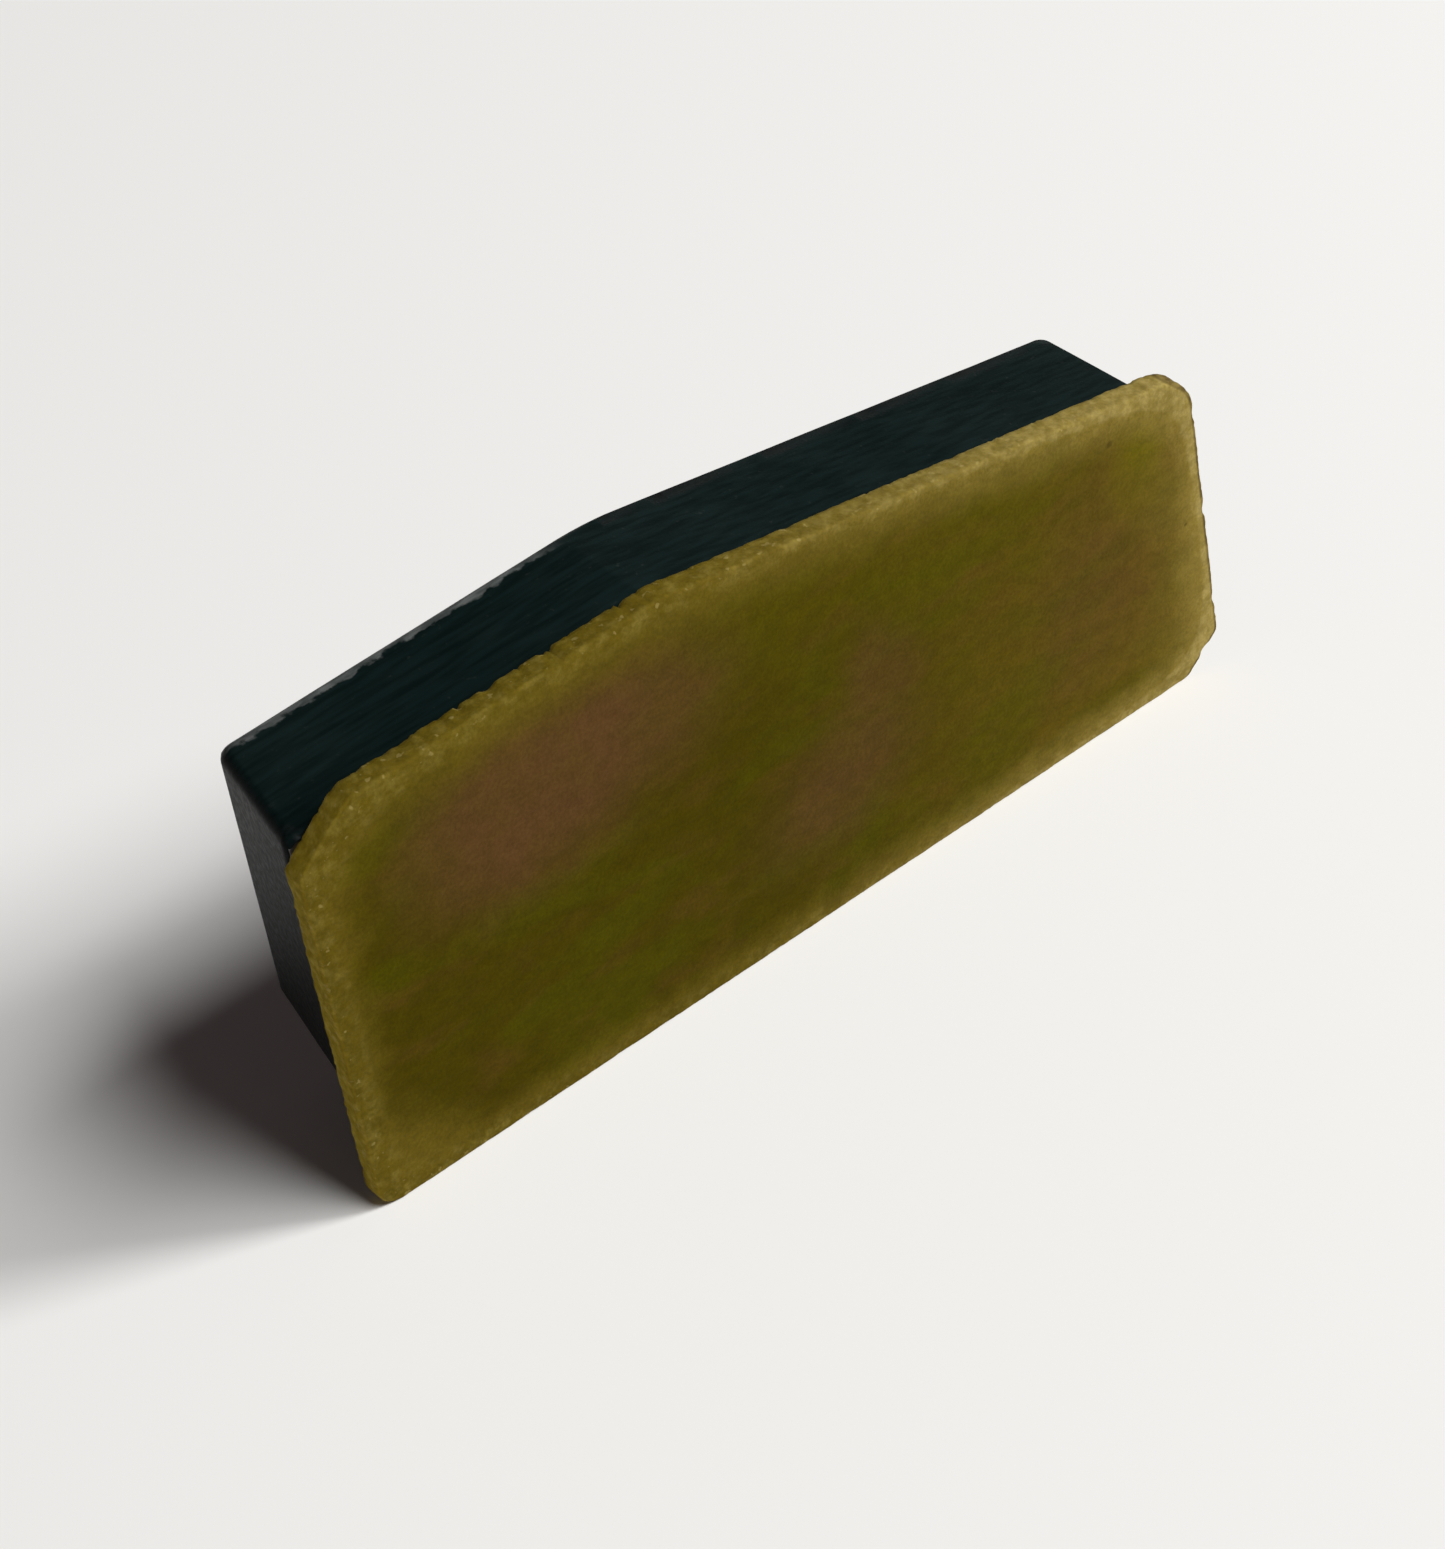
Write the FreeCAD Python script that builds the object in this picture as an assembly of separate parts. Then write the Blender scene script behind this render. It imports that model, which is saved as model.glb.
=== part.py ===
"""A hand-made domino tile, in millimetres.

The tile stands on its long edge.  +X runs along its length, -Y is the side of the face plate and +Z is up.
The origin is on the surface it stands on, under the middle of its length and depth.
A translucent face plate is bonded to a smaller black block, with a film of adhesive between them.
The shapes are drawn with x counted from the plate's left edge and y from the plate's front, then moved.
"""
import FreeCAD, Part
import math
import os

# Face plate: length along the bottom edge, thickness, and the heights of its ridged top edge.
plate_length = 50.2
plate_thickness = 1.2
plate_left_height = 21.45
plate_ridge_height = 22.25
plate_right_height = 17.5
plate_ridge_from_left = 18.3
right_edge_lean = 1.8

# Face plate corners: two are clipped straight, two are rounded.
top_left_clip_along = 2.8
top_left_clip_down = 2.3
bottom_right_clip_along = 2.2
bottom_right_clip_up = 1.8
clip_softening = 0.6
top_right_radius = 2.4
bottom_left_radius = 1.0
front_rim_radius = 0.3

# Bond: the film's thickness, and how far its rim stays back from the block's outline.
bond_thickness = 0.2
bond_setback = 0.25

# Block: thickness, how far it stands in from the plate, where its own ridge is, and the run of its left end,
# which is oblique: the back of it stands further in than the front.
block_thickness = 7.15
block_top_setback = 1.5
block_left_setback = 0.4
block_right_setback = 2.9
block_ridge_from_left = 19.1
left_end_run = 1.25

# Block corner cut: its height up the left end at the front and at the back, and its angle from the vertical.
cut_front_height = 6.1
cut_back_height = 6.6
cut_angle = 47.0

# Block edges: the rounding of the two upright back edges, and the bevel on the back of the left-hand top edge.
back_left_radius = 0.8
back_right_radius = 0.5
top_back_bevel = 0.35

# Where each layer starts, counted back from the front of the plate.
bond_front = plate_thickness
block_front = bond_front + bond_thickness
block_back = block_front + block_thickness

# Slopes of the ridged top edge, as rise over run, and of the leaning right edge, as run over rise.
left_slope = (plate_ridge_height - plate_left_height) / plate_ridge_from_left
right_slope = (plate_right_height - plate_ridge_height) / (
    plate_length - right_edge_lean - plate_ridge_from_left
)
right_edge_slope = right_edge_lean / plate_right_height

TOUCHING = 1e-4


def plate_top(x):
    """Height of the plate's top edge at x."""
    slope = left_slope if x < plate_ridge_from_left else right_slope
    return plate_ridge_height + slope * (x - plate_ridge_from_left)


def block_top(x):
    """Height of the block's top at x: the plate's two slopes, meeting at the block's own ridge."""
    ridge_height = plate_top(block_ridge_from_left) - block_top_setback
    slope = left_slope if x < block_ridge_from_left else right_slope
    return ridge_height + slope * (x - block_ridge_from_left)


def arc_through_corner(before, corner, after, radius):
    """The start, middle and end of the arc that rounds one corner of an outline."""
    towards_before = (before - corner).normalize()
    towards_after = (after - corner).normalize()
    half_angle = towards_before.getAngle(towards_after) / 2
    room = min((before - corner).Length, (after - corner).Length) / 2
    reach = min(radius / math.tan(half_angle), room)
    fitted_radius = reach * math.tan(half_angle)
    bisector = (towards_before + towards_after).normalize()
    start = corner + towards_before * reach
    middle = corner + bisector * (fitted_radius / math.sin(half_angle) - fitted_radius)
    end = corner + towards_after * reach
    return start, middle, end


def rounded_face(corners):
    """A flat face from (point, radius) corners; a radius of 0 leaves that corner sharp."""
    joints = []
    for index, (corner, radius) in enumerate(corners):
        before = corners[index - 1][0]
        after = corners[(index + 1) % len(corners)][0]
        if radius > 0:
            joints.append(arc_through_corner(before, corner, after, radius))
        else:
            joints.append((corner, None, corner))
    edges = []
    for index, (start, middle, end) in enumerate(joints):
        if middle is not None:
            edges.append(Part.Arc(start, middle, end).toShape())
        next_start = joints[(index + 1) % len(joints)][0]
        if (next_start - end).Length > TOUCHING:
            edges.append(Part.makeLine(end, next_start))
    return Part.Face(Part.Wire(edges))


def edges_at_depth(shape, depth):
    """Edges that lie wholly at one depth."""
    return [
        edge
        for edge in shape.Edges
        if abs(edge.BoundBox.YMin - depth) < TOUCHING and abs(edge.BoundBox.YMax - depth) < TOUCHING
    ]


def upright_edge(shape, depth, x):
    """The upright edge nearest to x among those at one depth."""
    upright = [edge for edge in edges_at_depth(shape, depth) if edge.BoundBox.XLength < TOUCHING]
    return min(upright, key=lambda edge: abs(edge.BoundBox.XMin - x))


def face_plate():
    """The translucent plate, with clipped and rounded corners and a softened front rim."""
    clip_left = plate_length - bottom_right_clip_along
    clip_right = plate_length - right_edge_slope * bottom_right_clip_up
    corners = [
        (FreeCAD.Vector(0, 0, 0), bottom_left_radius),
        (FreeCAD.Vector(clip_left, 0, 0), clip_softening),
        (FreeCAD.Vector(clip_right, 0, bottom_right_clip_up), clip_softening),
        (FreeCAD.Vector(plate_length - right_edge_lean, 0, plate_right_height), top_right_radius),
        (FreeCAD.Vector(plate_ridge_from_left, 0, plate_ridge_height), 0),
        (FreeCAD.Vector(top_left_clip_along, 0, plate_top(top_left_clip_along)), clip_softening),
        (FreeCAD.Vector(0, 0, plate_left_height - top_left_clip_down), clip_softening),
    ]
    plate = rounded_face(corners).extrude(FreeCAD.Vector(0, plate_thickness, 0))
    return plate.makeFillet(front_rim_radius, edges_at_depth(plate, 0))


def block_corners(depth, left, cut_height):
    """The block's six corners at one depth, anticlockwise from the front, its lower left corner cut away."""
    right = plate_length - block_right_setback
    cut_run = cut_height * math.tan(math.radians(cut_angle))
    return [
        FreeCAD.Vector(left + cut_run, depth, 0),
        FreeCAD.Vector(right, depth, 0),
        FreeCAD.Vector(right, depth, block_top(right)),
        FreeCAD.Vector(block_ridge_from_left, depth, block_top(block_ridge_from_left)),
        FreeCAD.Vector(left, depth, block_top(left)),
        FreeCAD.Vector(left, depth, cut_height),
    ]


def flat_face(points):
    """A flat face inside a closed run of points."""
    return Part.Face(Part.makePolygon(points + points[:1]))


def bond_film():
    """The adhesive film: the outline of the block's front, set back along every edge."""
    corners = block_corners(bond_front, block_left_setback, cut_front_height)
    covered = flat_face(corners).makeOffset2D(-bond_setback)
    return covered.extrude(FreeCAD.Vector(0, bond_thickness, 0))


def base_block():
    """The black block: oblique left end, cut lower corner, rounded and bevelled back edges."""
    back_left = block_left_setback + left_end_run
    right = plate_length - block_right_setback
    front = block_corners(block_front, block_left_setback, cut_front_height)
    back = block_corners(block_back, back_left, cut_back_height)
    faces = [flat_face(front), flat_face(back[::-1])]
    for index in range(len(front)):
        following = (index + 1) % len(front)
        faces.append(flat_face([front[index], back[index], back[following], front[following]]))
    block = Part.makeSolid(Part.makeShell(faces))
    block = block.makeFillet(back_left_radius, [upright_edge(block, block_back, back_left)])
    block = block.makeFillet(back_right_radius, [upright_edge(block, block_back, right)])
    left_top_edges = [
        edge
        for edge in edges_at_depth(block, block_back)
        if edge.BoundBox.XMax < block_ridge_from_left + TOUCHING
        and edge.BoundBox.ZMin > block_top(back_left) - TOUCHING
    ]
    return block.makeChamfer(top_back_bevel, left_top_edges)


nodes = {
    "face_plate": face_plate(),
    "bond_film": bond_film(),
    "base_block": base_block(),
}

# The whole tile is moved so that the origin is under its middle, on the surface it stands on.
extent = Part.Compound(list(nodes.values())).optimalBoundingBox(False, False)
to_origin = FreeCAD.Vector(-extent.Center.x, -extent.Center.y, -extent.ZMin)

os.makedirs("parts", exist_ok=True)
for name, shape in nodes.items():
    shape.translate(to_origin)
    shape.exportStep(f"parts/{name}.step")
    print(name, "valid", shape.isValid(), "solids", len(shape.Solids), "volume", round(shape.Volume, 1))
print("size", round(extent.XLength, 2), round(extent.YLength, 2), round(extent.ZLength, 2))
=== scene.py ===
"""A domino tile: a translucent olive face plate bonded to a black block, standing on its long edge.

Lengths are in millimetres and are multiplied by MM where they meet Blender, which is in metres.
+X runs along the tile, -Y is the side of the face plate and +Z is up, as in the CAD frame.
"""

import math
import random

import bmesh
import bpy
from mathutils import Matrix, Vector, geometry, noise


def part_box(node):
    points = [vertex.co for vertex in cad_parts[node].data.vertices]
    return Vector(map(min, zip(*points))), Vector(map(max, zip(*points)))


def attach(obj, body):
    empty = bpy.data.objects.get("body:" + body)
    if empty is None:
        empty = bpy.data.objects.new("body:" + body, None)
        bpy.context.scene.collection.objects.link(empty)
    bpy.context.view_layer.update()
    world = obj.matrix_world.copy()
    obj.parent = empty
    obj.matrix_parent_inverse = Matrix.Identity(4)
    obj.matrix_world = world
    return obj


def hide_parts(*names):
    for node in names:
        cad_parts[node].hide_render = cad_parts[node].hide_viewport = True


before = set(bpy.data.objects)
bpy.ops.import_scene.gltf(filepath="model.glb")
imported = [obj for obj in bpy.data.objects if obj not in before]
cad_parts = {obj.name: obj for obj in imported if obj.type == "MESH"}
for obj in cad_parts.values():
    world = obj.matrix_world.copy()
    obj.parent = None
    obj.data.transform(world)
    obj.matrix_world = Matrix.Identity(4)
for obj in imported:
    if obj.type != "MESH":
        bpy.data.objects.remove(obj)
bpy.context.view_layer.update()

MM = 0.001

# Camera: its place and what it looks at, its roll in degrees, and its lens and sensor.
camera_place = Vector((-66.94, -94.55, 107.10))
camera_target = Vector((-4.95, -4.47, 11.87))
camera_roll = -7.85
camera_lens = 79.54
camera_sensor = 36

# Lights: the way to each as a heading from +X and a height above the floor, both in degrees,
# then its width and tallness in millimetres and its power in watts.
light_distance = 1500
high_light = {"heading": -57, "height": 57, "width": 850, "tallness": 440, "power": 15.0}
low_light = {"heading": -29, "height": 27, "width": 380, "tallness": 380, "power": 21.0}

# The room round the tile: its colour at the horizon and overhead, and where between them it changes.
room_horizon = (0.36, 0.32, 0.31, 1)
room_overhead = (0.022, 0.016, 0.016, 1)
room_change = (0.02, 0.45)
paper_colour = (0.86, 0.855, 0.836, 1)

# Face plate mesh: spacing along the outline and inside it, the rim's rounding, and the wear on its edges.
plate_outline_step = 0.16
plate_front_step = 0.45
plate_back_step = 1.1
plate_rim_radius = 0.15
plate_rim_rows = 4
plate_wall_rows = 5
plate_pillow_depth = 0.03
plate_pillow_reach = 0.5
plate_wave_depth = 0.035
plate_wave_length = 7.0
chip_spacing = 0.75
chip_depth = 0.14
edge_roughness = 0.04
edge_outset = 0.05
edge_waver = 0.03
back_arris_depth = 0.05
back_arris_inset = 0.07
plate_clear_of_floor = 0.01

# The larger nicks down the right edge: the place of each from the plate's lower left corner, and its depth.
larger_nicks = [(48.7, 15.1, 0.10), (49.0, 9.4, 0.13), (49.6, 3.9, 0.12), (49.25, 1.0, 0.16)]
larger_nick_half_width = 0.42

# Adhesive mesh: how far it is squeezed out past the film's rim, and how far it runs on into the block.
bead_outline_step = 0.4
bead_mean_reach = 0.2
bead_reach_change = 0.14
bead_clear_of_floor = 0.06
bead_run_on = 0.16

# Block: the spacing of its mesh's cells, its rounded edges, how uneven its sides are, and its painted
# highlight strip.
block_cell = 0.9
block_edge_radius = 0.08
block_unevenness = 0.012
block_top_back_round = 0.2
highlight_strip_width = 0.7
top_back_bevel = 0.35


# ---------------------------------------------------------------- outlines

def outline_of(node_name):
    """The corners of a node's back face, anticlockwise as seen from the front, as (x, z) in millimetres."""
    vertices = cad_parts[node_name].data.vertices
    back = max(vertex.co.y for vertex in vertices)
    flat = {(round(v.co.x / MM, 3), round(v.co.z / MM, 3)) for v in vertices if back - v.co.y < 0.01 * MM}
    points = [Vector(point) for point in flat]
    centre = sum(points, Vector((0, 0))) / len(points)
    return sorted(points, key=lambda point: math.atan2(point.y - centre.y, point.x - centre.x))


def edges_with_normals(outline):
    """Each edge's start and inward unit normal."""
    result = []
    for index, start in enumerate(outline):
        along = outline[(index + 1) % len(outline)] - start
        if along.length > 1e-4:
            result.append((start, Vector((-along.y, along.x)).normalized()))
    return result


def depth_inside(point, edges, softness=0.0):
    """How far a point is inside a convex outline, negative outside.

    Softness rounds the change from one edge to the next.
    """
    depths = [(point - start).dot(inward) for start, inward in edges]
    nearest = min(depths)
    if softness == 0:
        return nearest
    total = sum(math.exp((nearest - depth) / softness) for depth in depths)
    return nearest - softness * math.log(total)


def walk(outline, step):
    """Evenly spaced samples of an outline: (point, inward normal, length so far)."""
    lengths = [(outline[(i + 1) % len(outline)] - point).length for i, point in enumerate(outline)]
    count = round(sum(lengths) / step)
    even_step = sum(lengths) / count
    samples = []
    index, passed = 0, 0.0
    for number in range(count):
        target = number * even_step
        while target > passed + lengths[index]:
            passed += lengths[index]
            index += 1
        start = outline[index]
        along = (outline[(index + 1) % len(outline)] - start).normalized()
        point = start + along * (target - passed)
        samples.append((point, Vector((-along.y, along.x)), target))
    return samples


def smooth_normals(samples, reach=2):
    """The same samples with each normal averaged over its neighbours, so that corners don't fold."""
    result = []
    for index, (point, _, target) in enumerate(samples):
        total = Vector((0, 0))
        for step in range(-reach, reach + 1):
            total += samples[(index + step) % len(samples)][1]
        result.append((point, total.normalized(), target))
    return result


def fill_points(edges, low, high, step, margin):
    """A jittered grid of points inside an outline, staying a margin away from it."""
    points = []
    z = low.y + step / 2
    row = 0
    while z < high.y:
        x = low.x + step / 2 + (row % 2) * step / 2
        while x < high.x:
            point = Vector((x + random.uniform(-0.12, 0.12) * step, z + random.uniform(-0.12, 0.12) * step))
            if depth_inside(point, edges) > margin:
                points.append(point)
            x += step
        z += step * 0.87
        row += 1
    return points


# ---------------------------------------------------------------- mesh building

def add_ring(mesh, points):
    """Vertices for a closed row of (x, y, z) points in millimetres."""
    return [mesh.verts.new(Vector(point) * MM) for point in points]


def join_rings(mesh, first, second):
    """A band of quads between two closed rows of vertices."""
    for index in range(len(first)):
        following = (index + 1) % len(first)
        mesh.faces.new((first[index], first[following], second[following], second[index]))


def cap_ring(mesh, ring, inner_points, depth_at, towards_front):
    """Closes a ring with triangles through the inner points, whose depths come from depth_at(x, z)."""
    ring_points = [Vector((vertex.co.x / MM, vertex.co.z / MM)) for vertex in ring]
    constraints = [(index, (index + 1) % len(ring)) for index in range(len(ring))]
    made = geometry.delaunay_2d_cdt(ring_points + inner_points, constraints, [], 1, 1e-6)
    points, _, faces, origins = made[0], made[1], made[2], made[3]
    vertices = []
    for point, sources in zip(points, origins):
        on_ring = [source for source in sources if source < len(ring)]
        if on_ring:
            vertices.append(ring[on_ring[0]])
        else:
            vertices.append(mesh.verts.new(Vector((point.x, depth_at(point.x, point.y), point.y)) * MM))
    for face in faces:
        corners = [vertices[index] for index in face]
        mesh.faces.new(corners if towards_front else corners[::-1])


def finished_piece(mesh, name, node_name, material):
    """Turns a bmesh into a smooth-shaded piece that stands for a CAD node."""
    bmesh.ops.recalc_face_normals(mesh, faces=mesh.faces)
    data = bpy.data.meshes.new(name)
    mesh.to_mesh(data)
    mesh.free()
    for polygon in data.polygons:
        polygon.use_smooth = True
    data.materials.append(material)
    piece = bpy.data.objects.new(name, data)
    bpy.context.scene.collection.objects.link(piece)
    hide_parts(node_name)
    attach(piece, "root")
    return piece


def store(piece, attribute_name, value_at):
    """Keeps one number per vertex for the material, worked out from its place and its normal."""
    attribute = piece.data.attributes.new(attribute_name, "FLOAT", "POINT")
    for index, vertex in enumerate(piece.data.vertices):
        attribute.data[index].value = value_at(vertex.co / MM, vertex.normal)


# ---------------------------------------------------------------- materials

def linear(level):
    """One 8-bit screen level as linear light."""
    value = level / 255
    return value / 12.92 if value <= 0.04045 else ((value + 0.055) / 1.055) ** 2.4


def colour(red, green, blue):
    """A colour given by its 8-bit screen levels."""
    return (linear(red), linear(green), linear(blue), 1.0)


class Surface:
    """A node material, and short calls that each add one node and return its output."""

    def __init__(self, name):
        self.material = bpy.data.materials.new(name)
        self.material.use_nodes = True
        self.tree = self.material.node_tree
        self.shader = self.tree.nodes["Principled BSDF"]
        coordinates = self.tree.nodes.new("ShaderNodeTexCoord")
        scale = self.tree.nodes.new("ShaderNodeVectorMath")
        scale.operation = "SCALE"
        scale.inputs["Scale"].default_value = 1 / MM
        self.tree.links.new(coordinates.outputs["Object"], scale.inputs[0])
        self.place = scale.outputs[0]

    def put(self, socket, value):
        """Links an output to a socket, or sets the socket to a plain value."""
        if isinstance(value, bpy.types.NodeSocket):
            self.tree.links.new(value, socket)
        else:
            socket.default_value = value

    def calculate(self, operation, first, second=0.0, clamp=False):
        node = self.tree.nodes.new("ShaderNodeMath")
        node.operation = operation
        node.use_clamp = clamp
        self.put(node.inputs[0], first)
        self.put(node.inputs[1], second)
        return node.outputs[0]

    def times(self, first, second):
        return self.calculate("MULTIPLY", first, second)

    def larger(self, first, second):
        return self.calculate("MAXIMUM", first, second)

    def fade(self, value, start, end, low=0.0, high=1.0):
        """Goes smoothly from low to high as the value goes from start to end."""
        node = self.tree.nodes.new("ShaderNodeMapRange")
        node.interpolation_type = "SMOOTHSTEP"
        self.put(node.inputs["Value"], value)
        limits = {"From Min": start, "From Max": end, "To Min": low, "To Max": high}
        for socket_name, number in limits.items():
            node.inputs[socket_name].default_value = number
        return node.outputs["Result"]

    def blend(self, factor, first, second):
        node = self.tree.nodes.new("ShaderNodeMix")
        node.data_type = "RGBA"
        self.put(node.inputs["Factor"], factor)
        self.put(node.inputs[6], first)
        self.put(node.inputs[7], second)
        return node.outputs[2]

    def stretched(self, place, factors):
        node = self.tree.nodes.new("ShaderNodeVectorMath")
        node.operation = "MULTIPLY"
        self.put(node.inputs[0], place)
        node.inputs[1].default_value = factors
        return node.outputs[0]

    def clouds(self, place, size, detail=3.0, distortion=0.0):
        """Noise from 0 to 1 whose features are about that size in millimetres."""
        node = self.tree.nodes.new("ShaderNodeTexNoise")
        self.put(node.inputs["Vector"], place)
        node.inputs["Scale"].default_value = 1 / size
        node.inputs["Detail"].default_value = detail
        node.inputs["Distortion"].default_value = distortion
        return node.outputs["Fac"]

    def wandering(self, place, size, reach):
        """The place, moved about by up to half the reach in every direction."""
        node = self.tree.nodes.new("ShaderNodeTexNoise")
        self.put(node.inputs["Vector"], place)
        node.inputs["Scale"].default_value = 1 / size
        centred = self.tree.nodes.new("ShaderNodeVectorMath")
        centred.operation = "SUBTRACT"
        self.tree.links.new(node.outputs["Color"], centred.inputs[0])
        centred.inputs[1].default_value = (0.5, 0.5, 0.5)
        scaled = self.tree.nodes.new("ShaderNodeVectorMath")
        scaled.operation = "SCALE"
        self.tree.links.new(centred.outputs[0], scaled.inputs[0])
        scaled.inputs["Scale"].default_value = reach
        moved = self.tree.nodes.new("ShaderNodeVectorMath")
        moved.operation = "ADD"
        self.tree.links.new(scaled.outputs[0], moved.inputs[0])
        self.put(moved.inputs[1], place)
        return moved.outputs[0]

    def patch(self, place, centre, half_size, turn=0.0, core=0.45):
        """A soft-edged oval on the face, 1 inside and 0 outside; centre is (x, z) and turn is in degrees."""
        node = self.tree.nodes.new("ShaderNodeMapping")
        node.vector_type = "TEXTURE"
        self.put(node.inputs["Vector"], place)
        node.inputs["Location"].default_value = (centre[0], 0, centre[1])
        node.inputs["Rotation"].default_value = (0, math.radians(-turn), 0)
        node.inputs["Scale"].default_value = (half_size[0], 1e6, half_size[1])
        length = self.tree.nodes.new("ShaderNodeVectorMath")
        length.operation = "LENGTH"
        self.tree.links.new(node.outputs[0], length.inputs[0])
        return self.fade(length.outputs["Value"], 1.0, core)

    def brightness(self, look, factor):
        """The same colour, made lighter or darker by a factor."""
        node = self.tree.nodes.new("ShaderNodeVectorMath")
        node.operation = "SCALE"
        self.tree.links.new(look, node.inputs[0])
        self.put(node.inputs["Scale"], factor)
        return node.outputs[0]

    def axis(self, place, name):
        node = self.tree.nodes.new("ShaderNodeSeparateXYZ")
        self.put(node.inputs[0], place)
        return node.outputs[name]

    def stored(self, attribute_name):
        node = self.tree.nodes.new("ShaderNodeAttribute")
        node.attribute_name = attribute_name
        return node.outputs["Fac"]

    def relief(self, height, depth, normal=None):
        """A bump whose full height is depth in millimetres."""
        node = self.tree.nodes.new("ShaderNodeBump")
        node.inputs["Distance"].default_value = depth * MM
        self.put(node.inputs["Height"], height)
        if normal is not None:
            self.tree.links.new(normal, node.inputs["Normal"])
        return node.outputs[0]


def plate_body(surface, left, right, top, loose):
    """The resin over the block: darkest low on the left, with painted light that lightens it towards the
    right, green streaks and soft brown patches.
    """
    length = right - left
    x = surface.axis(loose, "X")
    z = surface.axis(loose, "Z")
    # Painted light: the colour lightens towards the right, the side the light comes from.
    along = surface.fade(x, left + 0.4 * length, left + 1.1 * length)
    body = surface.blend(along, colour(62, 53, 1), colour(92, 75, 16))
    body = surface.blend(surface.fade(z, 0.55 * top, 0.95 * top, 0, 0.45), body, colour(82, 74, 4))
    streaks = surface.clouds(surface.stretched(surface.place, (0.4, 1.0, 1.0)), 3.0, 5.0, 0.8)
    body = surface.blend(surface.fade(streaks, 0.42, 0.66, 0, 0.5), body, colour(66, 65, 0))
    brownish = surface.clouds(surface.stretched(surface.place, (0.5, 1.0, 1.3)), 2.1, 4.0)
    body = surface.blend(surface.fade(brownish, 0.5, 0.72, 0, 0.35), body, colour(84, 60, 20))

    large = surface.patch(loose, (left + 12.2, 0.75 * top), (11.6, 6.4), 4, 0.3)
    middle = surface.patch(loose, (left + 26.2, 0.33 * top), (7.0, 4.8), 20, 0.2)
    stem = surface.patch(loose, (left + 29, 0.5 * top), (3.2, 5.2), 0, 0.2)
    faint = surface.patch(loose, (left + 42.5, 0.42 * top), (6.0, 9.5), 0, 0.2)
    clouding = surface.larger(surface.times(stem, 0.45), surface.times(middle, 0.6))
    clouding = surface.larger(surface.times(large, 0.9), clouding)
    clouding = surface.larger(clouding, surface.times(faint, 0.35))
    green = surface.patch(loose, (left + 44.8, 0.66 * top), (3.0, 4.2), -12, 0.1)
    body = surface.blend(surface.times(green, 0.6), body, colour(92, 88, 2))
    uneven = surface.fade(surface.clouds(surface.place, 1.8, 5.0), 0.3, 0.65, 0.8, 1.0)
    return surface.blend(surface.times(clouding, uneven), body, colour(82, 56, 29))


def plate_rim(surface, look, x, left, right):
    """Paints the paler rim as painted light: light coming in through the edges and through the plate where no
    block lies behind it.
    """
    broad = surface.calculate("MULTIPLY_ADD", surface.clouds(surface.place, 1.5, 5.0), 1.6)
    broad.node.inputs[2].default_value = -0.8
    inside = surface.calculate("ADD", surface.stored("edge_distance"), broad)
    overhang = surface.calculate("SUBTRACT", surface.stored("overhang"), broad)
    edge_glow = surface.fade(inside, 2.3, 0.0, 0, 0.85)
    open_glow = surface.fade(overhang, -1.2, 2.0)
    glow = surface.larger(edge_glow, open_glow)
    # Painted light: more glow towards the right end, and a paler rim colour towards the right.
    glow = surface.larger(glow, surface.fade(x, right - 6.0, right - 1.0, 0, 0.45))
    rim_light_to_right = surface.fade(x, left + 0.35 * (right - left), right)
    look = surface.blend(glow, look, surface.blend(rim_light_to_right, colour(90, 76, 18), colour(120, 103, 44)))

    fine = surface.clouds(surface.place, 0.5, 5.0)
    # Painted light in ragged patches close to the edge.
    patchy_rim_light = surface.times(surface.fade(surface.stored("edge_distance"), 1.1, 0.1), 0.4)
    patchy_rim_light = surface.times(patchy_rim_light, surface.fade(fine, 0.4, 0.75))
    look = surface.blend(patchy_rim_light, look, surface.blend(rim_light_to_right, colour(126, 112, 52), colour(150, 132, 74)))

    # Painted light: light that has spread through the resin is painted coming out of the cut edge on the left;
    # the right arris is grimy.
    facing = surface.stored("facing_right")
    look = surface.brightness(look, surface.fade(facing, -0.1, -0.9, 1.0, 2.3))
    # Painted highlight: a pale cream line along the edge, mostly towards the right.
    painted_edge_highlight = surface.fade(surface.stored("edge_distance"), 0.32, 0.08, 0, 0.4)
    painted_edge_highlight = surface.times(painted_edge_highlight, surface.fade(fine, 0.35, 0.6, 0.4, 1.0))
    look = surface.blend(surface.times(painted_edge_highlight, rim_light_to_right), look, colour(160, 144, 88))
    # Painted light in small pale cream spots right at the edge.
    painted_light_flecks = surface.fade(surface.clouds(surface.place, 0.42, 2.0), 0.62, 0.7, 0, 0.35)
    painted_light_flecks = surface.times(painted_light_flecks, surface.fade(surface.stored("edge_distance"), 0.16, 0.04))
    look = surface.blend(painted_light_flecks, look, colour(160, 144, 88))
    at_right_arris = surface.fade(surface.stored("from_right_edge"), 0.26, 0.14)
    grime = surface.times(at_right_arris, surface.fade(fine, 0.7, 0.35, 0.5, 0.85))
    return surface.blend(grime, look, colour(70, 56, 26))


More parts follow.
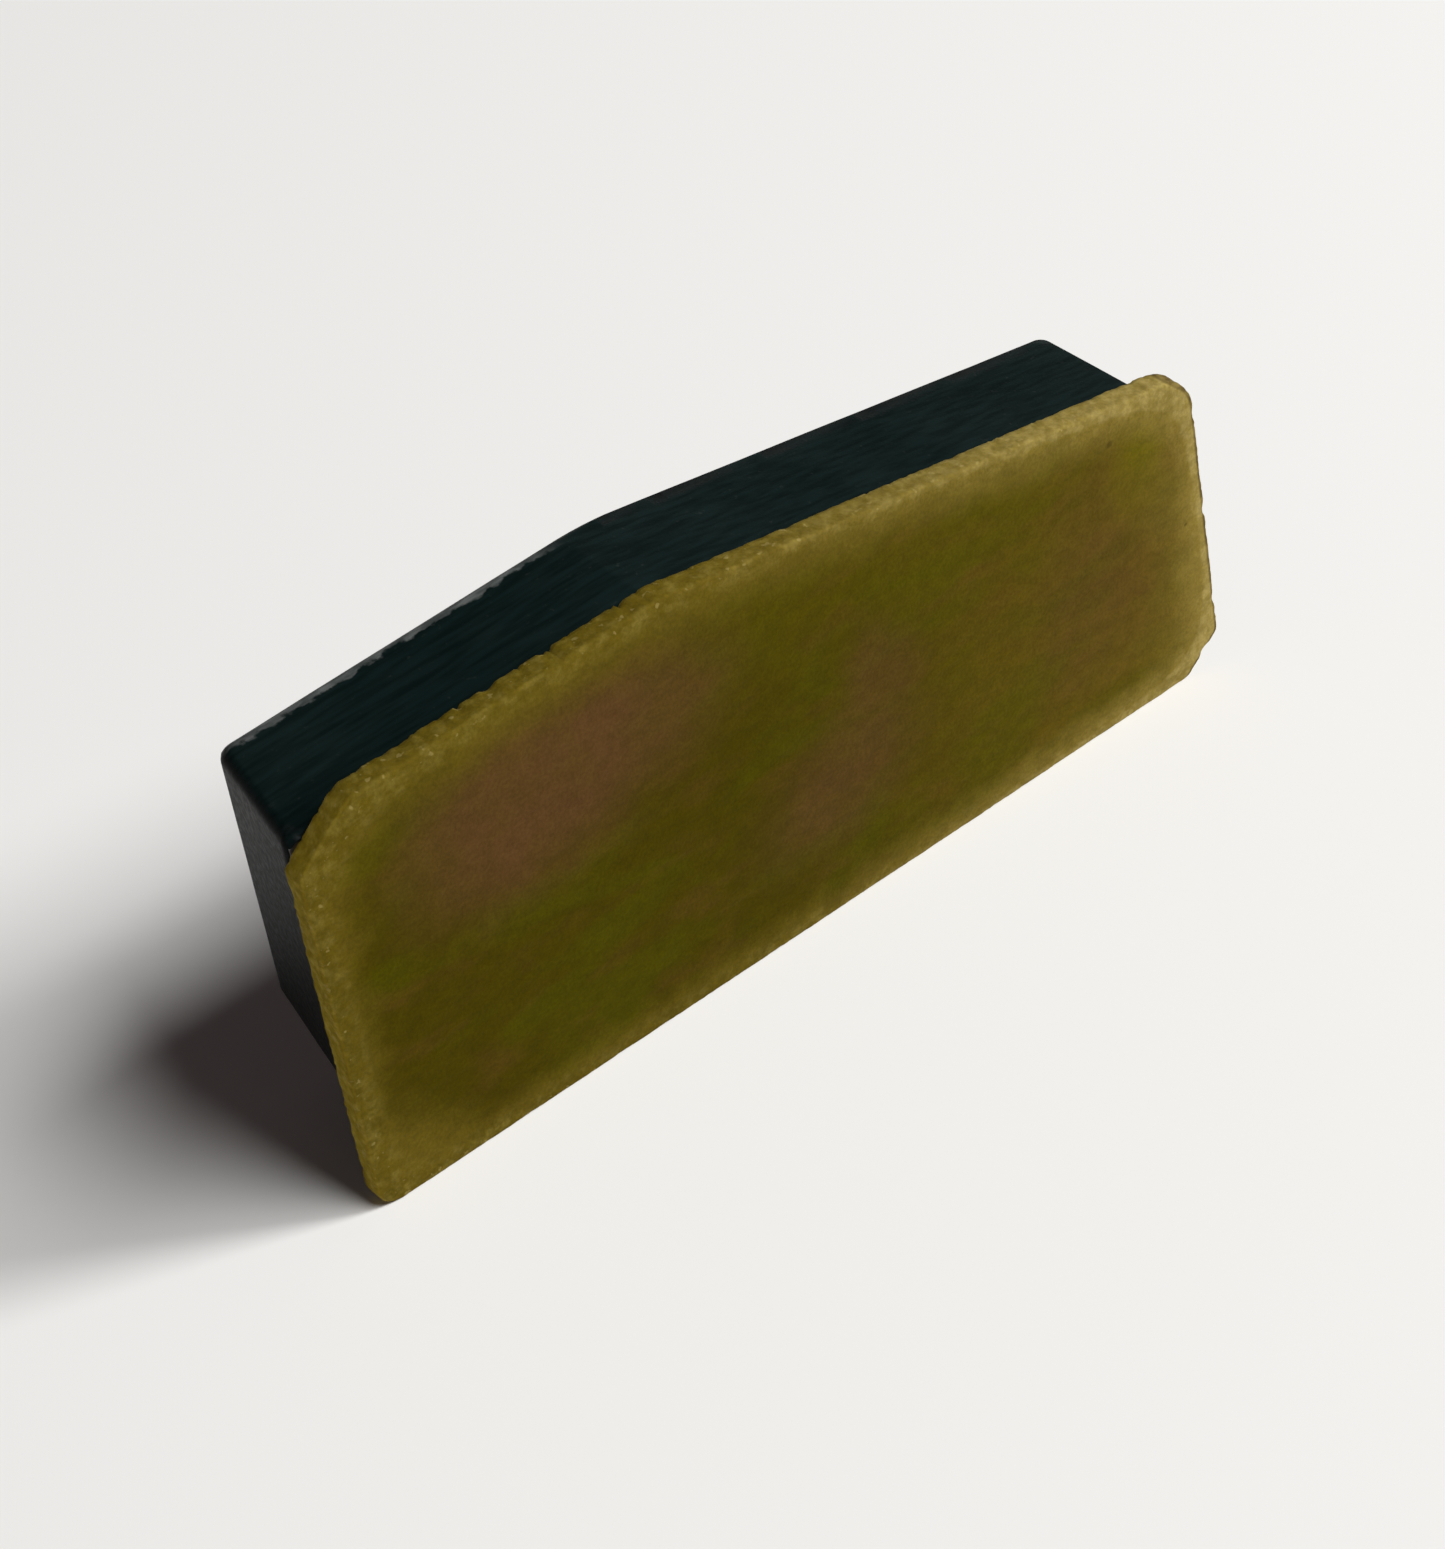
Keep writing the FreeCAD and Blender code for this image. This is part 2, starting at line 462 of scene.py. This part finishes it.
def plate_material(box_low, box_high):
    """Translucent olive resin: dark over the block, with painted light making it golden and ragged at the rim
    and lighter to the right, painted edge highlights, and a fine grain.
    """
    surface = Surface("olive_resin")
    left, right, top = box_low.x / MM, box_high.x / MM, box_high.z / MM
    loose = surface.wandering(surface.wandering(surface.place, 6.0, 3.0), 1.6, 1.2)
    look = plate_body(surface, left, right, top, loose)
    look = plate_rim(surface, look, surface.axis(loose, "X"), left, right)
    mottle = surface.clouds(surface.stretched(surface.place, (0.7, 1.0, 1.0)), 0.5, 5.0)
    grain = surface.clouds(surface.place, 0.17, 3.0)
    look = surface.brightness(look, surface.fade(mottle, 0.3, 0.7, 0.92, 1.09))
    look = surface.brightness(look, surface.fade(grain, 0.3, 0.7, 0.90, 1.10))
    specks = surface.fade(surface.clouds(surface.place, 0.9, 1.0), 0.83, 0.87)
    inclusion = surface.patch(surface.place, (left + 43.3, 0.737 * top), (0.3, 0.24), 20, 0.3)
    specks = surface.larger(specks, inclusion)
    look = surface.blend(surface.times(specks, 0.5), look, colour(48, 36, 8))
    surface.put(surface.shader.inputs["Base Color"], look)

    marks = surface.clouds(surface.stretched(surface.place, (0.12, 1.0, 1.0)), 0.22, 3.0)
    edge = surface.fade(surface.stored("edge_distance"), 0.7, 0.0, 0, 0.14)
    roughness = surface.calculate("ADD", surface.fade(marks, 0.3, 0.7, 0.46, 0.58), edge)
    surface.put(surface.shader.inputs["Roughness"], roughness)
    face_relief = surface.relief(mottle, 0.02, surface.relief(marks, 0.008))
    surface.put(surface.shader.inputs["Normal"], surface.relief(grain, 0.01, face_relief))
    surface.put(surface.shader.inputs["Specular IOR Level"], 0.015)
    surface.put(surface.shader.inputs["Subsurface Weight"], 0.08)
    surface.put(surface.shader.inputs["Subsurface Radius"], (1.0, 0.75, 0.2))
    surface.put(surface.shader.inputs["Subsurface Scale"], 0.5 * MM)
    return surface.material


def painted_bevel_highlight(surface, back, ridge, left_end):
    """A painted highlight: the pale strip along the back of the top edge, from the left end as far as the
    ridge, standing in for light off the bevel.
    """
    x = surface.axis(surface.place, "X")
    y = surface.axis(surface.place, "Y")
    z = surface.axis(surface.place, "Z")
    slope = (ridge.z - left_end.z) / (ridge.x - left_end.x)
    ragged = surface.fade(surface.clouds(surface.place, 0.8, 5.0), 0.3, 0.7, -0.2, 0.2)
    loose_y = surface.calculate("ADD", y, ragged)
    at_back = surface.fade(loose_y, back - highlight_strip_width - 0.1, back - highlight_strip_width + 0.1)
    past_corner = surface.fade(x, left_end.x + 0.5, left_end.x + 2.0)
    left_of_ridge = surface.times(surface.fade(x, ridge.x + 0.4, ridge.x - 2.6), past_corner)
    top_at_x_0 = ridge.z - slope * ridge.x
    top_from_slope = surface.calculate("ADD", surface.times(x, slope), top_at_x_0)
    below_top = surface.calculate("SUBTRACT", top_from_slope, z)
    near_top = surface.fade(below_top, top_back_bevel + 0.15, top_back_bevel - 0.1)
    band = surface.times(at_back, surface.times(left_of_ridge, near_top))
    broken = surface.clouds(surface.stretched(surface.place, (0.45, 1, 1)), 0.42, 5.0)
    return surface.times(band, surface.fade(broken, 0.42, 0.64, 0.5, 1))


def block_material(back, ridge, left_end):
    """Black satin plastic with faint saw marks, a little dust, edges lightened partly where slightly rubbed
    and partly as painted highlight, painted shade on faces facing left, and the painted highlight strip.
    """
    surface = Surface("black_plastic")
    cloudy = surface.clouds(surface.place, 6.0, 3.0)
    look = surface.blend(surface.fade(cloudy, 0.3, 0.7), colour(9, 22, 21), colour(15, 27, 26))
    # Edges lightened partly where rubbed and partly as a painted highlight, most to the left of the ridge.
    edge_lightening = surface.times(surface.fade(surface.stored("edge_distance"), 0.45, 0.0), 0.35)
    uneven = surface.clouds(surface.place, 0.8, 4.0)
    rubbed_and_highlit_edges = surface.times(edge_lightening, surface.fade(uneven, 0.45, 0.7))
    x = surface.axis(surface.place, "X")
    rubbed_and_highlit_edges = surface.times(rubbed_and_highlit_edges, surface.fade(x, ridge.x + 2.0, ridge.x - 2.0, 0.3, 1))
    look = surface.blend(rubbed_and_highlit_edges, look, colour(46, 47, 45))
    # Painted shade: faces that face left, away from the light, are darkened.
    shaded = surface.fade(surface.stored("facing_left"), 0.5, 0.9, 0, 0.85)
    look = surface.blend(shaded, look, colour(7, 6, 6))
    # Painted highlight: the pale strip along the top back edge.
    look = surface.blend(painted_bevel_highlight(surface, back, ridge, left_end), look, colour(88, 92, 90))
    dust = surface.fade(surface.clouds(surface.place, 0.3, 2.0), 0.66, 0.78, 0, 0.25)
    look = surface.blend(dust, look, colour(52, 54, 52))

    marks = surface.clouds(surface.stretched(surface.place, (0.1, 1.0, 1.0)), 0.3, 3.0)
    grain = surface.clouds(surface.place, 0.2, 2.0)
    look = surface.brightness(look, surface.fade(marks, 0.3, 0.7, 0.75, 1.3))
    surface.put(surface.shader.inputs["Base Color"], look)
    surface.put(surface.shader.inputs["Roughness"], surface.fade(marks, 0.3, 0.7, 0.38, 0.5))
    surface.put(surface.shader.inputs["Normal"], surface.relief(grain, 0.006, surface.relief(marks, 0.008)))
    surface.put(surface.shader.inputs["Specular IOR Level"], 0.045)
    return surface.material


def adhesive_material():
    """Dull, dark amber adhesive, uneven in colour, with dust caught in it."""
    surface = Surface("amber_adhesive")
    uneven = surface.clouds(surface.place, 1.4, 4.0, 0.5)
    look = surface.blend(surface.fade(uneven, 0.3, 0.7), colour(22, 18, 10), colour(40, 31, 17))
    dust = surface.fade(surface.clouds(surface.place, 0.25, 2.0), 0.62, 0.75, 0, 0.25)
    look = surface.blend(dust, look, colour(46, 40, 30))
    surface.put(surface.shader.inputs["Base Color"], look)
    surface.put(surface.shader.inputs["Roughness"], surface.fade(uneven, 0.3, 0.7, 0.3, 0.5))
    surface.put(surface.shader.inputs["Normal"], surface.relief(uneven, 0.05))
    surface.put(surface.shader.inputs["Subsurface Weight"], 0.1)
    surface.put(surface.shader.inputs["Subsurface Scale"], 0.5 * MM)
    return surface.material


def paper_material():
    """White paper for the floor."""
    surface = Surface("white_paper")
    surface.put(surface.shader.inputs["Base Color"], paper_colour)
    surface.put(surface.shader.inputs["Roughness"], 0.9)
    surface.put(surface.shader.inputs["Specular IOR Level"], 0.1)
    return surface.material


# ---------------------------------------------------------------- face plate

def chips_along(total_length):
    """Nicks in the plate's edge: (place along the outline, half width, depth, share of it at the front)."""
    chips = []
    place = 0.0
    while place < total_length:
        place += random.uniform(0.25, 2.1) * chip_spacing
        half_width = 0.08 + 0.4 * random.random() ** 2
        depth = chip_depth * random.uniform(0.3, 1.0) * random.choice((0.7, 1.0, 1.8))
        chips.append((place, half_width, depth, random.uniform(0.0, 0.35)))
    return chips


def larger_chips(samples, low):
    """The larger nicks as chips, each at the nearest place along the outline."""
    chips = []
    for from_left, height, depth in larger_nicks:
        place = Vector((low.x / MM + from_left, height))
        nearest = min(samples, key=lambda sample: (sample[0] - place).length)
        full_depth = depth / edge_wear_weight(nearest[0], nearest[1], 0)
        chips.append((nearest[2], larger_nick_half_width, full_depth, 1.0))
    return chips


def edge_wear_weight(point, inward, ridge_x):
    """How much an edge is nicked: most on the upper left, less on the right, least elsewhere."""
    if inward.y < -0.5:
        return 1.0 if point.x < ridge_x else 0.35
    return 0.55 if inward.x < -0.5 else 0.3


def nick_at(length_so_far, depth_share, chips):
    """How far the edge is pushed in at a place along it; depth_share is 0 at the front and 1 at the back."""
    total = 0.0
    for place, half_width, depth, front_share in chips:
        away = abs(length_so_far - place) / half_width
        if away < 1:
            share = front_share + (1 - front_share) * depth_share ** 3
            total = max(total, depth * share * (1 - away * away))
    return total


def plate_surface(edges, front):
    """Gives the depth of the plate's face at (x, z): slightly wavy, and falling away near its edges."""
    def depth_at(x, z):
        place = Vector((x, z))
        fall = plate_pillow_depth * math.exp(-max(depth_inside(place, edges), 0) / plate_pillow_reach)
        wave = 0.5 + 0.5 * noise.noise(Vector((x, z, 3.0)) / plate_wave_length)
        return front + fall + plate_wave_depth * wave
    return depth_at


def plate_rows(samples, chips, ridge_x, depth_at, front):
    """Gives a function that makes one row of points round the plate, nicked and slightly uneven."""
    def row(inset, start_depth, depth_share, follow_face):
        points = []
        for point, inward, length_so_far in samples:
            nick = nick_at(length_so_far, depth_share, chips) * edge_wear_weight(point, inward, ridge_x)
            waver = edge_waver * noise.noise(Vector((length_so_far / 2.5, depth_share, 0))) - edge_outset
            fine = noise.noise(Vector((length_so_far / 0.3, 4 * depth_share, 5)))
            broad = noise.noise(Vector((length_so_far / 1.1, 2 * depth_share, 8)))
            waver += edge_roughness * (0.5 + fine + broad)
            moved = point + inward * (inset + nick + waver)
            face = depth_at(moved.x, moved.y) - front if follow_face else 0.0
            points.append((moved.x, start_depth + face, max(moved.y, plate_clear_of_floor)))
        return points
    return row


def plate_sides(mesh, row, front, back):
    """The rounded rim and the walls, as joined rings of vertices; returns the front and the back ring."""
    rings = []
    for number in range(plate_rim_rows + 1):
        angle = math.radians(90) * number / plate_rim_rows
        inset = plate_rim_radius * (1 - math.sin(angle))
        depth = front + plate_rim_radius * (1 - math.cos(angle))
        rings.append(add_ring(mesh, row(inset, depth, 0.0, True)))
    wall_start = front + plate_rim_radius + plate_pillow_depth + plate_wave_depth
    wall_end = back - back_arris_depth
    for number in range(1, plate_wall_rows + 1):
        share = number / plate_wall_rows
        rings.append(add_ring(mesh, row(0.0, wall_start + (wall_end - wall_start) * share, share, False)))
    rings.append(add_ring(mesh, row(back_arris_inset, back, 1.0, False)))
    for first, second in zip(rings, rings[1:]):
        join_rings(mesh, first, second)
    return rings[0], rings[-1]


def store_plate_numbers(piece, edges):
    """The numbers that the plate's material reads: how near the edges are, and how far past the film it is."""
    film_edges = edges_with_normals(outline_of("bond_film"))
    right_edges = [edge for edge in edges if edge[1].x < -0.6]
    store(piece, "edge_distance", lambda place, normal: depth_inside(place.xz, edges, 0.5))
    store(piece, "overhang", lambda place, normal: -depth_inside(place.xz, film_edges, 0.5))
    store(piece, "facing_right", lambda place, normal: normal.x)
    store(piece, "from_right_edge", lambda place, normal: depth_inside(place.xz, right_edges))


def face_plate():
    """The plate: a fine triangulated face, a rounded rim, nicked walls and a flat back."""
    low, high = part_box("face_plate")
    front, back = low.y / MM, high.y / MM
    outline = outline_of("face_plate")
    edges = edges_with_normals(outline)
    samples = smooth_normals(walk(outline, plate_outline_step))
    chips = chips_along(samples[-1][2]) + larger_chips(samples, low)
    ridge_x = max(outline, key=lambda point: point.y).x
    depth_at = plate_surface(edges, front)

    mesh = bmesh.new()
    row = plate_rows(samples, chips, ridge_x, depth_at, front)
    front_ring, back_ring = plate_sides(mesh, row, front, back)
    corner_low, corner_high = Vector((low.x, low.z)) / MM, Vector((high.x, high.z)) / MM
    inner = fill_points(edges, corner_low, corner_high, plate_front_step, plate_rim_radius + 0.55)
    cap_ring(mesh, front_ring, inner, depth_at, True)
    inner = fill_points(edges, corner_low, corner_high, plate_back_step, 0.9)
    cap_ring(mesh, back_ring, inner, lambda x, z: back, False)

    piece = finished_piece(mesh, "olive_face_plate", "face_plate", plate_material(low, high))
    store_plate_numbers(piece, edges)
    return piece


# ---------------------------------------------------------------- adhesive

def adhesive_bead():
    """The adhesive: the film with an uneven bulging rim, which runs on a little way into the block."""
    low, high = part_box("bond_film")
    front, back = low.y / MM, high.y / MM
    samples = smooth_normals(walk(outline_of("bond_film"), bead_outline_step))

    def row(depth, bulge):
        points = []
        for point, inward, length_so_far in samples:
            broad = noise.noise(Vector((length_so_far / 3.0, 0, 7)))
            fine = noise.noise(Vector((length_so_far, 0, 2)))
            reach = bead_mean_reach + bead_reach_change * (broad + 0.5 * fine)
            moved = point - inward * reach * bulge
            points.append((moved.x, depth, max(moved.y, bead_clear_of_floor)))
        return points

    mesh = bmesh.new()
    swell = (back - front) * 0.9
    profile = [
        (front, 0.75),
        (front + 0.3 * swell, 1.0),
        (front + swell, 0.95),
        (back + 0.75 * bead_run_on, 0.72),
        (back + bead_run_on, 0.4),
    ]
    rings = [add_ring(mesh, row(depth, bulge)) for depth, bulge in profile]
    for first, second in zip(rings, rings[1:]):
        join_rings(mesh, first, second)
    cap_ring(mesh, rings[0], [], None, True)
    cap_ring(mesh, rings[-1], [], None, False)
    return finished_piece(mesh, "adhesive_bead", "bond_film", adhesive_material())


# ---------------------------------------------------------------- block

def plane_spacing(low, high, step):
    """Evenly spaced places between two ends, about a step apart."""
    count = max(2, round((high - low) / step))
    return [low + (high - low) * number / count for number in range(1, count)]


def sharp_edge_lines(mesh):
    """The block's real edges, as pairs of end points in millimetres."""
    lines = []
    for edge in mesh.edges:
        if len(edge.link_faces) == 2 and edge.calc_face_angle() > math.radians(12):
            lines.append((edge.verts[0].co / MM, edge.verts[1].co / MM))
    return lines


def distance_to_lines(point, lines):
    """The distance from a point to the nearest of some line segments."""
    nearest = 1e9
    for start, end in lines:
        along = end - start
        share = max(0.0, min(1.0, (point - start).dot(along) / along.length_squared))
        nearest = min(nearest, (point - start - along * share).length)
    return nearest


def round_top_back_edge(mesh, top):
    """Turns the bevel on the left part of the top back edge into a wider rounding."""
    bevel_edges = [
        edge
        for edge in mesh.edges
        if len(edge.link_faces) == 2
        and math.radians(35) < edge.calc_face_angle() < math.radians(55)
        and min(vertex.co.z for vertex in edge.verts) > 0.8 * top
    ]
    offset = block_top_back_round * MM
    bmesh.ops.bevel(mesh, geom=bevel_edges, offset=offset, segments=4, profile=0.5, affect="EDGES")


def wrap_tightly(mesh):
    """Replaces the block's faces by the tightest skin round its corners; the block has no hollows."""
    bmesh.ops.remove_doubles(mesh, verts=mesh.verts, dist=0.005 * MM)
    bmesh.ops.delete(mesh, geom=mesh.faces[:] + mesh.edges[:], context="EDGES_FACES")
    wrapped = bmesh.ops.convex_hull(mesh, input=mesh.verts)
    unused = [part for part in wrapped["geom_interior"] if isinstance(part, bmesh.types.BMVert)]
    bmesh.ops.delete(mesh, geom=unused, context="VERTS")
    bmesh.ops.dissolve_limit(mesh, angle_limit=math.radians(0.5), verts=mesh.verts, edges=mesh.edges)
    bmesh.ops.recalc_face_normals(mesh, faces=mesh.faces)


def rounded_block(node, top):
    """The CAD solid with its edges rounded, and its real edges as lines."""
    mesh = bmesh.new()
    mesh.from_mesh(node.data)
    bmesh.ops.remove_doubles(mesh, verts=mesh.verts, dist=0.001 * MM)
    bmesh.ops.dissolve_limit(mesh, angle_limit=math.radians(1), verts=mesh.verts, edges=mesh.edges)
    lines = sharp_edge_lines(mesh)
    round_top_back_edge(mesh, top)
    sharp = [e for e in mesh.edges if len(e.link_faces) == 2 and e.calc_face_angle() > math.radians(30)]
    rounding = {"offset": block_edge_radius * MM, "segments": 3, "profile": 0.5}
    bmesh.ops.bevel(mesh, geom=sharp, affect="EDGES", clamp_overlap=True, **rounding)
    wrap_tightly(mesh)
    return mesh, lines


def cut_into_cells(mesh, low, high):
    """Cuts every side of the block along planes one cell apart."""
    for axis in range(3):
        normal = Vector([float(axis == number) for number in range(3)])
        for place in plane_spacing(low[axis] / MM, high[axis] / MM, block_cell):
            everything = mesh.verts[:] + mesh.edges[:] + mesh.faces[:]
            bmesh.ops.bisect_plane(mesh, geom=everything, plane_co=normal * place * MM, plane_no=normal)
    bmesh.ops.remove_doubles(mesh, verts=mesh.verts, dist=0.02 * MM)


def make_uneven(mesh):
    """Sinks the block's sides by small, smoothly changing depths."""
    mesh.normal_update()
    for vertex in mesh.verts:
        place = vertex.co / MM
        uneven = noise.noise(place / 4.0) + 0.4 * noise.noise(place / 1.3)
        vertex.co -= vertex.normal * block_unevenness * (0.7 + uneven) * MM


def black_block():
    """The block: the CAD solid with rounded edges, cut into small cells and made slightly uneven."""
    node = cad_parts["base_block"]
    low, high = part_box("base_block")
    mesh, lines = rounded_block(node, high.z)
    cut_into_cells(mesh, low, high)
    make_uneven(mesh)
    corners = [vertex.co / MM for vertex in node.data.vertices]
    ridge = max(corners, key=lambda corner: corner.z)
    left_end = min(corners, key=lambda corner: corner.x - corner.z)
    material = block_material(high.y / MM, ridge, left_end)
    piece = finished_piece(mesh, "black_block", "base_block", material)
    piece.modifiers.new("flat_sides", "WEIGHTED_NORMAL")
    store(piece, "edge_distance", lambda place, normal: distance_to_lines(place, lines))
    store(piece, "facing_left", lambda place, normal: -normal.x)
    return piece


# ---------------------------------------------------------------- floor, light and camera

def floor():
    """A large flat sheet of paper under the tile."""
    mesh = bmesh.new()
    bmesh.ops.create_grid(mesh, x_segments=8, y_segments=8, size=4.0)
    data = bpy.data.meshes.new("paper_floor")
    mesh.to_mesh(data)
    mesh.free()
    data.materials.append(paper_material())
    sheet = bpy.data.objects.new("paper_floor", data)
    bpy.context.scene.collection.objects.link(sheet)


def soft_light(name, heading, height, width, tallness, power):
    """A large soft light that faces the tile."""
    around, up = math.radians(heading), math.radians(height)
    towards = Vector((math.cos(around) * math.cos(up), math.sin(around) * math.cos(up), math.sin(up)))
    lamp = bpy.data.lights.new(name, "AREA")
    lamp.shape = "ELLIPSE"
    lamp.size = width * MM
    lamp.size_y = tallness * MM
    lamp.energy = power
    holder = bpy.data.objects.new(name, lamp)
    holder.location = towards * light_distance * MM
    holder.rotation_euler = towards.to_track_quat("Z", "Y").to_euler()
    bpy.context.scene.collection.objects.link(holder)


def dim_room():
    """A dim warm surrounding, paler at the horizon and dark overhead."""
    world = bpy.data.worlds.new("dim_room")
    bpy.context.scene.world = world
    world.use_nodes = True
    tree = world.node_tree
    background = tree.nodes["Background"]
    coordinates = tree.nodes.new("ShaderNodeTexCoord")
    split = tree.nodes.new("ShaderNodeSeparateXYZ")
    tree.links.new(coordinates.outputs["Generated"], split.inputs[0])
    height = tree.nodes.new("ShaderNodeMapRange")
    height.interpolation_type = "SMOOTHSTEP"
    height.inputs["From Min"].default_value = room_change[0]
    height.inputs["From Max"].default_value = room_change[1]
    tree.links.new(split.outputs["Z"], height.inputs["Value"])
    mix = tree.nodes.new("ShaderNodeMix")
    mix.data_type = "RGBA"
    mix.inputs[6].default_value = room_horizon
    mix.inputs[7].default_value = room_overhead
    tree.links.new(height.outputs["Result"], mix.inputs["Factor"])
    tree.links.new(mix.outputs[2], background.inputs["Color"])


def camera():
    """The camera, without depth of field or shift."""
    data = bpy.data.cameras.new("camera")
    data.lens = camera_lens
    data.sensor_width = camera_sensor
    data.clip_start = 0.01
    data.clip_end = 20
    holder = bpy.data.objects.new("camera", data)
    bpy.context.scene.collection.objects.link(holder)
    level = (camera_target - camera_place).to_track_quat("-Z", "Y").to_matrix()
    turned = level @ Matrix.Rotation(math.radians(camera_roll), 3, "Z")
    holder.matrix_world = Matrix.LocRotScale(camera_place * MM, turned.to_quaternion(), None)
    bpy.context.scene.camera = holder


random.seed(11)
camera()
floor()
soft_light("high_light", **high_light)
soft_light("low_light", **low_light)
dim_room()
face_plate()
adhesive_bead()
black_block()
bpy.context.scene.view_settings.view_transform = "Standard"
